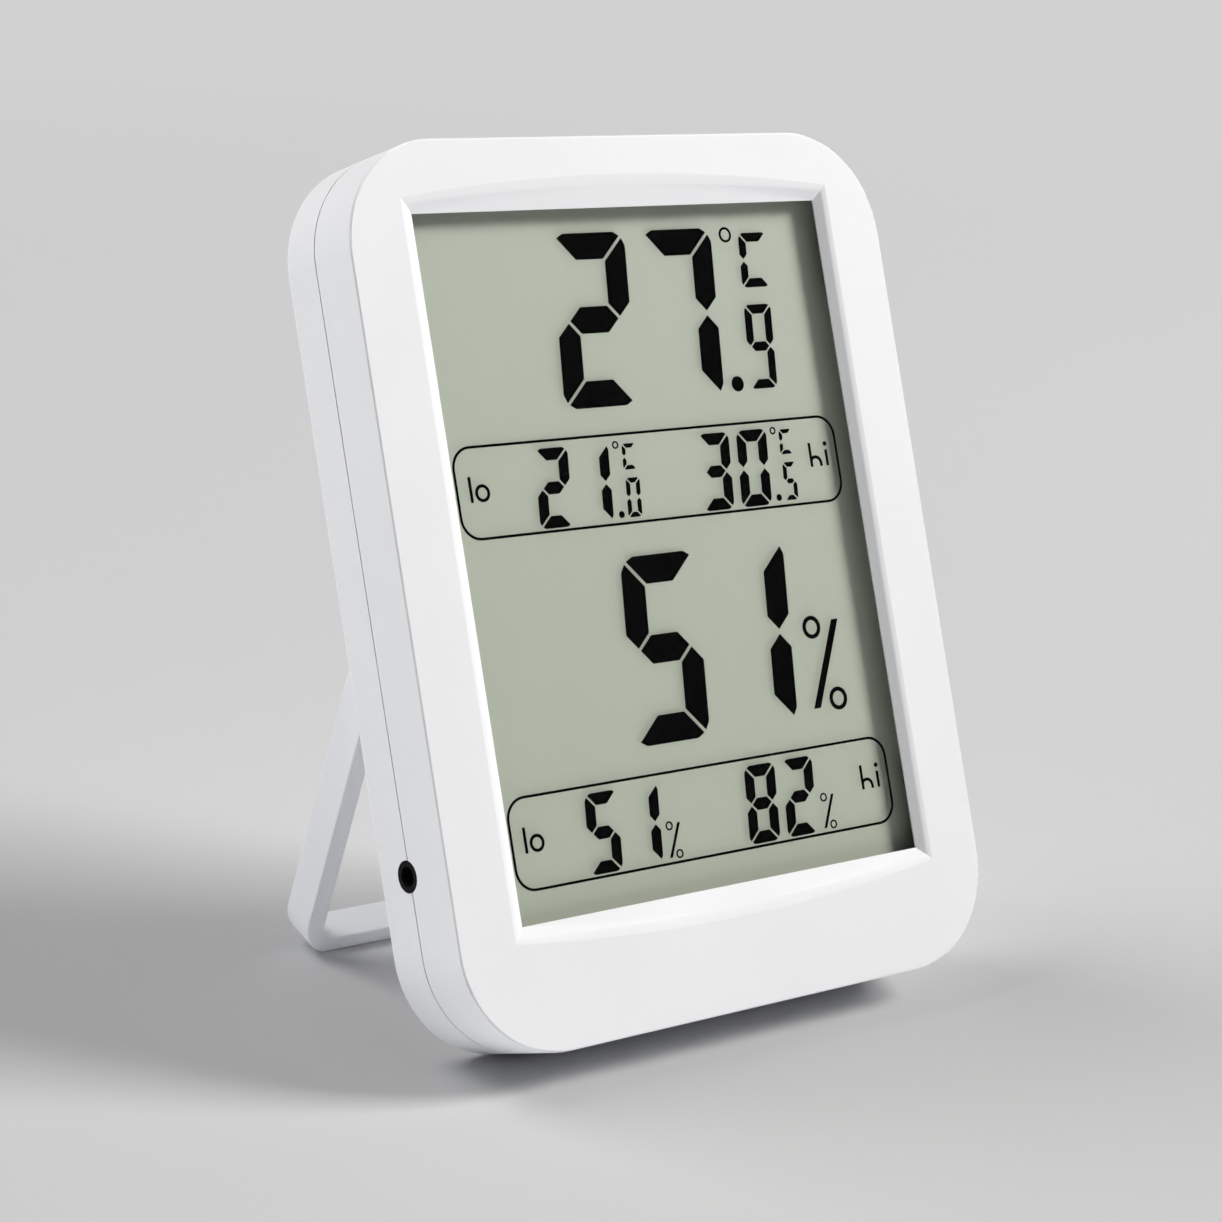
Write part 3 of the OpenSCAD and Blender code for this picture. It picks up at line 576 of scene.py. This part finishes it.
@dataclass(frozen=True)
class FiredCeramic:
    """Matt fired ceramic with a speckled body."""

    colour: Colour
    speck_size: float = 0.3 * MM
    speck_depth: float = 0.01 * MM
    speck_edges: Point = (0.4, 0.65)
    speck_share: float = 0.8
    roughness: float = 0.65
    sheen: float = 0.2

    def make(self, name: str) -> bpy.types.Material:
        """Makes the material.

        Args:
            name: The material's name.

        Returns:
            The material.
        """
        paint = Paint(name)
        speck = paint.noise(self.speck_size, FINE)
        dark = shaded(self.colour, self.speck_share)
        return paint.surface({
            "Base Color": paint.mix(speck.above(*self.speck_edges), self.colour, dark),
            "Roughness": self.roughness + (speck - MIDDLE) * self.sheen,
            "Normal": paint.bump(speck, self.speck_depth),
        })


class Shelf:
    """The finishes by the record's slot names, each made once."""

    FINISHES: Mapping[str, Finish] = {
        "shell_white": MouldedPlastic((0.87, 0.87, 0.87)),
        "cover_white": MouldedPlastic(
            (0.87, 0.87, 0.872), roughness=0.56, grain_size=0.32 * MM, grain_depth=0.006 * MM,
        ),
        # The stand is the same white plastic as the case. Its bluer tint all over is painted cool shade,
        # standing in for the bluish shade on its front face.
        "stand_white": MouldedPlastic((0.86, 0.865, 0.875)),
        "lens_clear": ClearSheet((0.02, 0.02, 0.02), alpha=0.012),
        "tape_black": DarkFilm((0.02, 0.02, 0.02), roughness=0.6),
        "lcd_glass": ClearSheet((0.02, 0.02, 0.02), alpha=0.006, roughness=0.05),
        "lcd_ink": DarkFilm((0.002, 0.002, 0.002), roughness=0.6, specular=0.0),
        "lcd_reflector": DisplayFilm((0.44, 0.485, 0.385)),
        "foam_black": Foam((0.03, 0.03, 0.03)),
        "zebra_rubber": BandedRubber((0.62, 0.33, 0.34), band=(0.05, 0.04, 0.05)),
        "board_green": SolderResist((0.02, 0.14, 0.06)),
        "resin_black": DarkFilm((0.012, 0.012, 0.013), roughness=0.22),
        "bright_steel": PlatedMetal((0.72, 0.72, 0.74)),
        "chip_ceramic": FiredCeramic((0.36, 0.24, 0.15)),
        "sensor_ceramic": FiredCeramic((0.62, 0.38, 0.2)),
        "port_black": MouldedPlastic((0.003, 0.003, 0.003), roughness=0.6, specular=0.12),
        "key_grey": MouldedPlastic(
            (0.55, 0.57, 0.6), roughness=0.5, grain_size=0.3 * MM, grain_depth=0.008 * MM,
        ),
        "plunger_black": MouldedPlastic((0.02, 0.02, 0.02), roughness=0.45),
        "cell_steel": PlatedMetal((0.78, 0.78, 0.79), roughness=0.22),
        "contact_brass": PlatedMetal((0.78, 0.6, 0.28), roughness=0.25, grain_size=0.15 * MM),
        "screw_steel": PlatedMetal((0.58, 0.58, 0.6), roughness=0.3),
    }

    def __init__(self) -> None:
        """Starts with nothing made."""
        self.made: dict[str, bpy.types.Material] = {}

    def take(self, slot: str) -> bpy.types.Material:
        """Gives a slot's material.

        Args:
            slot: The record's slot name.

        Returns:
            The material, made at its first use.
        """
        if slot not in self.made:
            self.made[slot] = self.FINISHES[slot].make(slot)
        return self.made[slot]


@dataclass(frozen=True)
class EdgeRounding:
    """A rounding of a piece's sharp edges."""

    width: float
    steps: int = 3
    sharp_angle: float = 40.0
    weld_reach: float = 0.001 * MM
    flat_angle: float = 0.5

    def bevel(self, piece: bpy.types.Object) -> None:
        """Rounds the edges alone.

        Args:
            piece: The piece.
        """
        edges = piece.modifiers.new("edges", "BEVEL")
        edges.width = self.width
        edges.segments = self.steps
        edges.limit_method = "ANGLE"
        edges.angle_limit = math.radians(self.sharp_angle)

    def soften(self, node: bpy.types.Object) -> None:
        """Joins a CAD node's triangles into flats first, then rounds its edges.

        Args:
            node: The node.
        """
        weld = node.modifiers.new("weld", "WELD")
        weld.merge_threshold = self.weld_reach
        flats = node.modifiers.new("flats", "DECIMATE")
        flats.decimate_type = "DISSOLVE"
        flats.angle_limit = math.radians(self.flat_angle)
        self.bevel(node)
        normals = node.modifiers.new("normals", "WEIGHTED_NORMAL")
        normals.keep_sharp = True


@dataclass(frozen=True)
class Plane:
    """A flat face that marks stand on, with its directions as seen from outside."""

    middle: Vector
    right: Vector
    up: Vector
    rim_depth: float = 0.01 * MM

    @property
    def outward(self) -> Vector:
        """The direction that the face looks in."""
        return self.right.cross(self.up)

    @classmethod
    def of_back(cls, middle: Sequence[float], outward: Sequence[float]) -> "Plane":
        """The back of the case, or a face level with it.

        Args:
            middle: The face's middle.
            outward: The direction that it looks in.

        Returns:
            The plane, whose right is the object's left.
        """
        right = Vector((-1.0, 0.0, 0.0))
        return cls(Vector(middle), right, Vector(outward).cross(right))

    def at(self, place: Point, height: float) -> Vector:
        """A point over the face.

        Args:
            place: Distances to the right and up.
            height: Distance outward.

        Returns:
            The point in the row's frame.
        """
        return self.middle + self.right * place[0] + self.up * place[1] + self.outward * height

    def on_top_of(self, node: bpy.types.Object) -> "Plane":
        """A parallel plane at the middle of a node's outermost face.

        Args:
            node: The node.

        Returns:
            The plane.
        """
        heights = [vertex.co.dot(self.outward) for vertex in node.data.vertices]
        level = max(heights) - self.rim_depth
        rim = [vertex.co for vertex, height in zip(node.data.vertices, heights) if height > level]
        return Plane(sum(rim, Vector()) / len(rim), self.right, self.up)


def polar(radius: float, angle: float) -> Point:
    """A point by its distance from the middle and its angle in degrees."""
    turn = math.radians(angle)
    return radius * math.cos(turn), radius * math.sin(turn)


def band(inner: float, outer: float, start: float, end: float, step: float = 6.0) -> list[Face]:
    """Faces of a ring or of a part of one.

    Args:
        inner: Inner radius.
        outer: Outer radius.
        start: Angle of its first end in degrees.
        end: Angle of its second end.
        step: Angle of one face.

    Returns:
        The faces.
    """
    count = max(1, round((end - start) / step))
    angles = [start + (end - start) * i / count for i in range(count + 1)]
    return [
        (polar(inner, a), polar(outer, a), polar(outer, b), polar(inner, b))
        for a, b in zip(angles, angles[1:])
    ]


def curved_arrow(
    radius: float, width: float, start: float, end: float, head: float, slim: float = 0.9,
) -> list[Face]:
    """Faces of an arrow along an arc.

    Args:
        radius: Radius of the arc.
        width: Width of the stroke.
        start: Angle of the tail in degrees.
        end: Angle where the head starts.
        head: Width of the head.
        slim: Length of the head as a share of its width.

    Returns:
        The faces.
    """
    reach = math.degrees(slim * head / radius)
    inner, outer = radius - width / 2, radius + width / 2
    barbs = polar(radius + head / 2, end), polar(radius - head / 2, end)
    tip = polar(radius, end + reach)
    return band(inner, outer, start, end) + [
        (polar(inner, end), polar(outer, end), barbs[0], tip, barbs[1]),
    ]


def disc(middle: Point, radius: float, sides: int = 40) -> list[Face]:
    """The face of a round dot.

    Args:
        middle: Its middle.
        radius: Its radius.
        sides: Points round it.

    Returns:
        One face.
    """
    rim = [polar(radius, FULL_TURN * i / sides) for i in range(sides)]
    return [[(middle[0] + x, middle[1] + y) for x, y in rim]]


def moved(faces: Sequence[Face], by: Point) -> list[Face]:
    """Faces moved across their plane."""
    return [[(x + by[0], y + by[1]) for x, y in face] for face in faces]


@dataclass(frozen=True)
class RaisedMark:
    """A mark that stands proud of a moulded face."""

    name: str
    body: Body
    slot: str
    rise: float = 0.3 * MM
    sink: float = 0.1 * MM
    edge: EdgeRounding = EdgeRounding(0.07 * MM, steps=2, sharp_angle=60.0)
    digits: int = 7

    def build(self, shelf: Shelf, plane: Plane, faces: Sequence[Face]) -> None:
        """Makes the mark.

        Args:
            shelf: The finishes.
            plane: The face that it stands on.
            faces: Its outline, as faces that share their corners.
        """
        shape = bmesh.new()
        corners: dict[Point, bmesh.types.BMVert] = {}
        for face in faces:
            for place in face:
                corners.setdefault(self._key(place), None)
        for key in corners:
            corners[key] = shape.verts.new(plane.at(key, -self.sink))
        for face in faces:
            shape.faces.new([corners[self._key(place)] for place in face])
        grown = bmesh.ops.extrude_face_region(shape, geom=list(shape.faces))
        tops = [item for item in grown["geom"] if isinstance(item, bmesh.types.BMVert)]
        bmesh.ops.translate(shape, vec=plane.outward * (self.sink + self.rise), verts=tops)
        bmesh.ops.recalc_face_normals(shape, faces=list(shape.faces))
        mesh = bpy.data.meshes.new(self.name)
        shape.to_mesh(mesh)
        shape.free()
        mesh.materials.append(shelf.take(self.slot))
        piece = bpy.data.objects.new(self.name, mesh)
        bpy.context.scene.collection.objects.link(piece)
        self.edge.bevel(piece)
        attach(piece, self.body.value)
        log.info("%s rides on %s", self.name, self.body.value)

    def _key(self, place: Point) -> Point:
        """A corner's place, rounded so that faces share it."""
        return round(place[0], self.digits), round(place[1], self.digits)


@dataclass
class SubAssembly:
    """CAD nodes that belong together, with the slots of their finishes."""

    shelf: Shelf
    nodes: Mapping[str, bpy.types.Object]
    back: Plane
    slots: Mapping[str, str] = field(default_factory=dict)

    def dress(self) -> None:
        """Gives each node of the group its finish."""
        for name, slot in self.slots.items():
            mesh = self.nodes[name].data
            mesh.materials.clear()
            mesh.materials.append(self.shelf.take(slot))
            log.info("%s takes %s", name, slot)

    def build(self) -> None:
        """Dresses the group, which is all that most of them need."""
        self.dress()


@dataclass
class Case(SubAssembly):
    """The two shells and their screws."""

    slots: Mapping[str, str] = field(default_factory=lambda: {
        "front_shell": "shell_white",
        "rear_cover": "cover_white",
        "case_screws": "screw_steel",
    })


@dataclass
class Display(SubAssembly):
    """Lens, glasses, segments and reflector."""

    slots: Mapping[str, str] = field(default_factory=lambda: {
        "display_lens": "lens_clear",
        "lens_tape": "tape_black",
        "lcd_front_glass": "lcd_glass",
        "lcd_segments": "lcd_ink",
        "lcd_rear_glass": "lcd_glass",
        "lcd_reflector": "lcd_reflector",
        "display_foam": "foam_black",
        "zebra_strip": "zebra_rubber",
    })

    def build(self) -> None:
        """Dresses the display stack and sets the segments to cast no shadow."""
        self.dress()
        self.nodes["lcd_segments"].visible_shadow = False


@dataclass
class Board(SubAssembly):
    """Circuit board and what is soldered to it."""

    slots: Mapping[str, str] = field(default_factory=lambda: {
        "main_pcb": "board_green",
        "pcb_screws": "screw_steel",
        "controller_blob": "resin_black",
        "timing_crystal": "bright_steel",
        "chip_parts": "chip_ceramic",
    })


@dataclass
class Sensing(SubAssembly):
    """Air port, humidity plate and thermistor."""

    slots: Mapping[str, str] = field(default_factory=lambda: {
        "humidity_sensor": "sensor_ceramic",
        "sensor_leads": "bright_steel",
        "thermistor": "resin_black",
        "air_port_grommet": "port_black",
        "port_filter": "foam_black",
    })


@dataclass
class Keys(SubAssembly):
    """The two keys with their switches, and the signs on their tops."""

    slots: Mapping[str, str] = field(default_factory=lambda: {
        "unit_button": "key_grey",
        "unit_plunger": "plunger_black",
        "unit_switch": "bright_steel",
        "reset_button": "key_grey",
        "reset_plunger": "plunger_black",
        "reset_switch": "bright_steel",
    })
    edge: EdgeRounding = EdgeRounding(0.35 * MM)
    sign_rise: float = 0.18 * MM
    degree_r: float = 0.75 * MM
    loop_r: float = 1.3 * MM
    line: float = 0.32 * MM
    loop_start: float = 100.0
    loop_end: float = 380.0
    loop_head: float = 1.1 * MM

    def build(self) -> None:
        """Dresses the keys and adds a degree sign and a reset loop."""
        self.dress()
        half = self.line / 2
        degree = band(self.degree_r - half, self.degree_r + half, 0.0, FULL_TURN)
        loop = curved_arrow(self.loop_r, self.line, self.loop_start, self.loop_end, self.loop_head)
        self._sign("unit", Body.UNIT_KEY, degree)
        self._sign("reset", Body.RESET_KEY, loop)

    def _sign(self, key: str, body: Body, faces: Sequence[Face]) -> None:
        """Rounds a key and puts its sign on it.

        Args:
            key: The key's name.
            body: The body that moves.
            faces: The sign.
        """
        button = self.nodes[f"{key}_button"]
        self.edge.soften(button)
        mark = RaisedMark(f"{key}_sign", body, "key_grey", self.sign_rise)
        mark.build(self.shelf, self.back.on_top_of(button), faces)


@dataclass
class Battery(SubAssembly):
    """Cell, contacts and door, with the marks that show how the door turns."""

    slots: Mapping[str, str] = field(default_factory=lambda: {
        "coin_cell": "cell_steel",
        "negative_contact": "contact_brass",
        "positive_contact": "contact_brass",
        "battery_door": "cover_white",
    })
    edge: EdgeRounding = EdgeRounding(0.25 * MM)
    open_turn: float = 45.0
    arrow_r: float = 8.6 * MM
    arrow_w: float = 0.8 * MM
    arrow_head: float = 2.4 * MM
    arrow_start: float = 48.0
    arrow_end: float = 118.0
    rib_inner: float = 9.6 * MM
    rib_outer: float = 12.2 * MM
    rib_angle: float = 2.6
    rib_pitch: float = 8.0
    rib_count: int = 9
    pointer_low: float = 10.9 * MM
    pointer_tip: float = 12.5 * MM
    pointer_angle: float = 4.6
    sign_r: float = 15.6 * MM
    dot_r: float = 0.8 * MM
    ring_w: float = 0.45 * MM

    def build(self) -> None:
        """Dresses the battery's parts and adds the marks of the door."""
        self.dress()
        self.edge.soften(self.nodes["battery_door"])
        arrow = curved_arrow(self.arrow_r, self.arrow_w, self.arrow_start, self.arrow_end, self.arrow_head)
        pointer = [(
            polar(self.pointer_low, UPWARD - self.pointer_angle),
            polar(self.pointer_tip, UPWARD),
            polar(self.pointer_low, UPWARD + self.pointer_angle),
        )]
        middle = (self.rib_count - 1) / 2
        turns = [UPWARD + HALF_TURN + (i - middle) * self.rib_pitch for i in range(self.rib_count)]
        half = self.rib_angle / 2
        ribs = [band(self.rib_inner, self.rib_outer, turn - half, turn + half) for turn in turns]
        ring = band(self.dot_r - self.ring_w, self.dot_r, 0.0, FULL_TURN)
        closed = polar(self.sign_r, UPWARD)
        opened = polar(self.sign_r, UPWARD + self.open_turn)
        cover = "cover_white"
        marks = {
            RaisedMark("turn_arrow", Body.DOOR, cover): arrow,
            RaisedMark("door_pointer", Body.DOOR, cover): pointer,
            RaisedMark("door_ribs", Body.DOOR, cover): sum(ribs, []),
            RaisedMark("closed_dot", Body.CASE, cover): disc(closed, self.dot_r),
            RaisedMark("open_ring", Body.CASE, cover): moved(ring, opened),
        }
        for mark, faces in marks.items():
            mark.build(self.shelf, self.back, faces)


@dataclass
class Stand(SubAssembly):
    """The fold-out loop."""

    slots: Mapping[str, str] = field(default_factory=lambda: {"stand": "stand_white"})
    edge: EdgeRounding = EdgeRounding(0.25 * MM)

    def build(self) -> None:
        """Dresses the stand and rounds its edges."""
        self.dress()
        self.edge.soften(self.nodes["stand"])


@dataclass(frozen=True)
class Lamp:
    """A square soft lamp that looks at the object."""

    name: str
    toward: Triple
    size: float
    power: float
    colour: Colour = (1.0, 1.0, 1.0)
    distance: float = 2.5

    def build(self, target: Vector) -> None:
        """Places the lamp.

        Args:
            target: The point that it looks at.
        """
        data = bpy.data.lights.new(self.name, "AREA")
        data.shape = "SQUARE"
        data.size = self.size
        data.energy = self.power
        data.color = self.colour
        lamp = bpy.data.objects.new(self.name, data)
        away = Vector(self.toward).normalized()
        lamp.location = target + away * self.distance
        lamp.rotation_euler = away.to_track_quat("Z", "Y").to_euler()
        bpy.context.scene.collection.objects.link(lamp)


@dataclass
class Studio:
    """Floor, lamps, world and camera.

    The floor has one tone to the camera and a paler one in the light that it throws back.
    """

    floor_size: float = 8.0
    floor_colour: Colour = (0.5, 0.5, 0.5)
    floor_bounce: Colour = (0.79, 0.805, 0.84)
    floor_roughness: float = 0.8
    floor_cloud: float = 0.4
    floor_share: float = 0.98
    floor_fade: Point = (0.3, 0.9)
    ambient_colour: Colour = (0.02, 0.022, 0.028)
    backdrop_colour: Colour = (0.64, 0.64, 0.645)
    camera_place: Triple = (-0.242347, -0.287263, 0.155278)
    camera_turn: Triple = (73.737, -5.274, -38.005)
    camera_lens: float = 95.474
    camera_sensor: float = 36.0
    camera_near: float = 0.01
    clear_layers: int = 32
    lamps: Sequence[Lamp] = (
        Lamp("key_lamp", (0.7, -0.37, 0.61), size=0.9, power=66.0, colour=(1.0, 0.99, 0.98)),
        Lamp("high_lamp", (0.1, -0.1, 0.99), size=1.7, power=8.0),
        Lamp("low_side_lamp", (-0.85, 0.5, 0.06), size=1.2, power=17.0),
        Lamp("high_side_lamp", (-0.4, 0.5, 0.75), size=1.4, power=38.0),
    )

    def build(self) -> None:
        """Sets up the whole studio."""
        low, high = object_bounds()
        for lamp in self.lamps:
            lamp.build((low + high) / 2)
        self._floor(low.z)
        self._world()
        self._camera()
        scene = bpy.context.scene
        scene.view_settings.view_transform = "Standard"
        scene.cycles.transparent_max_bounces = self.clear_layers

    def _floor(self, height: float) -> None:
        """Lays the floor, which runs into the backdrop away from the object.

        Args:
            height: The height of the object's lowest point.
        """
        mesh = bpy.data.meshes.new("floor")
        shape = bmesh.new()
        bmesh.ops.create_grid(shape, x_segments=1, y_segments=1, size=self.floor_size / 2)
        shape.to_mesh(mesh)
        shape.free()
        floor = bpy.data.objects.new("floor", mesh)
        floor.location.z = height
        paint = Paint("floor_paper")
        seen = paint.seen()
        tone = paint.noise(self.floor_cloud, SOFT)
        paper = paint.mix(tone, self.floor_colour, shaded(self.floor_colour, self.floor_share))
        base = paint.mix(seen, self.floor_bounce, paper)
        sockets = {"Base Color": base, "Roughness": self.floor_roughness}
        near = paint.node("ShaderNodeBsdfPrincipled", None, sockets)
        far = paint.node("ShaderNodeEmission", None, {"Color": opaque(self.backdrop_colour)})
        reach = paint.node("ShaderNodeVectorMath", {"operation": "LENGTH"}, {0: paint.place}, "Value")
        faded = {0: reach.above(*self.floor_fade) * seen, 1: near, 2: far}
        ground = paint.node("ShaderNodeMixShader", None, faded)
        paint.add("ShaderNodeOutputMaterial", None, {"Surface": ground})
        mesh.materials.append(paint.material)
        bpy.context.scene.collection.objects.link(floor)
        floor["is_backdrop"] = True

    def _world(self) -> None:
        """Gives the world a soft ambient light and a pale sight."""
        world = bpy.data.worlds.new("studio")
        world.use_nodes = True
        bpy.context.scene.world = world
        graph = Graph(world.node_tree)
        sight = graph.mix(graph.seen(), self.ambient_colour, self.backdrop_colour)
        background = graph.node("ShaderNodeBackground", None, {"Color": sight})
        graph.add("ShaderNodeOutputWorld", None, {"Surface": background})

    def _camera(self) -> None:
        """Places the camera."""
        data = bpy.data.cameras.new("camera")
        data.sensor_width = self.camera_sensor
        data.lens = self.camera_lens
        data.clip_start = self.camera_near
        camera = bpy.data.objects.new("camera", data)
        camera.location = self.camera_place
        camera.rotation_euler = Euler([math.radians(angle) for angle in self.camera_turn])
        bpy.context.scene.collection.objects.link(camera)
        bpy.context.scene.camera = camera


def main() -> None:
    """Builds the dressed object in its studio."""
    logging.basicConfig(level=logging.INFO, format="%(name)s: %(message)s")
    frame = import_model()
    studio = Studio()
    studio.build()
    shelf = Shelf()
    door = next(joint for joint in frame["joints"] if joint["name"] == "door_turn")
    back = Plane.of_back(door["pos_m"], door["axis"])
    for group in (Case, Display, Board, Sensing, Keys, Battery, Stand):
        group(shelf, frame["nodes"], back).build()


if __name__ == "__main__":
    main()
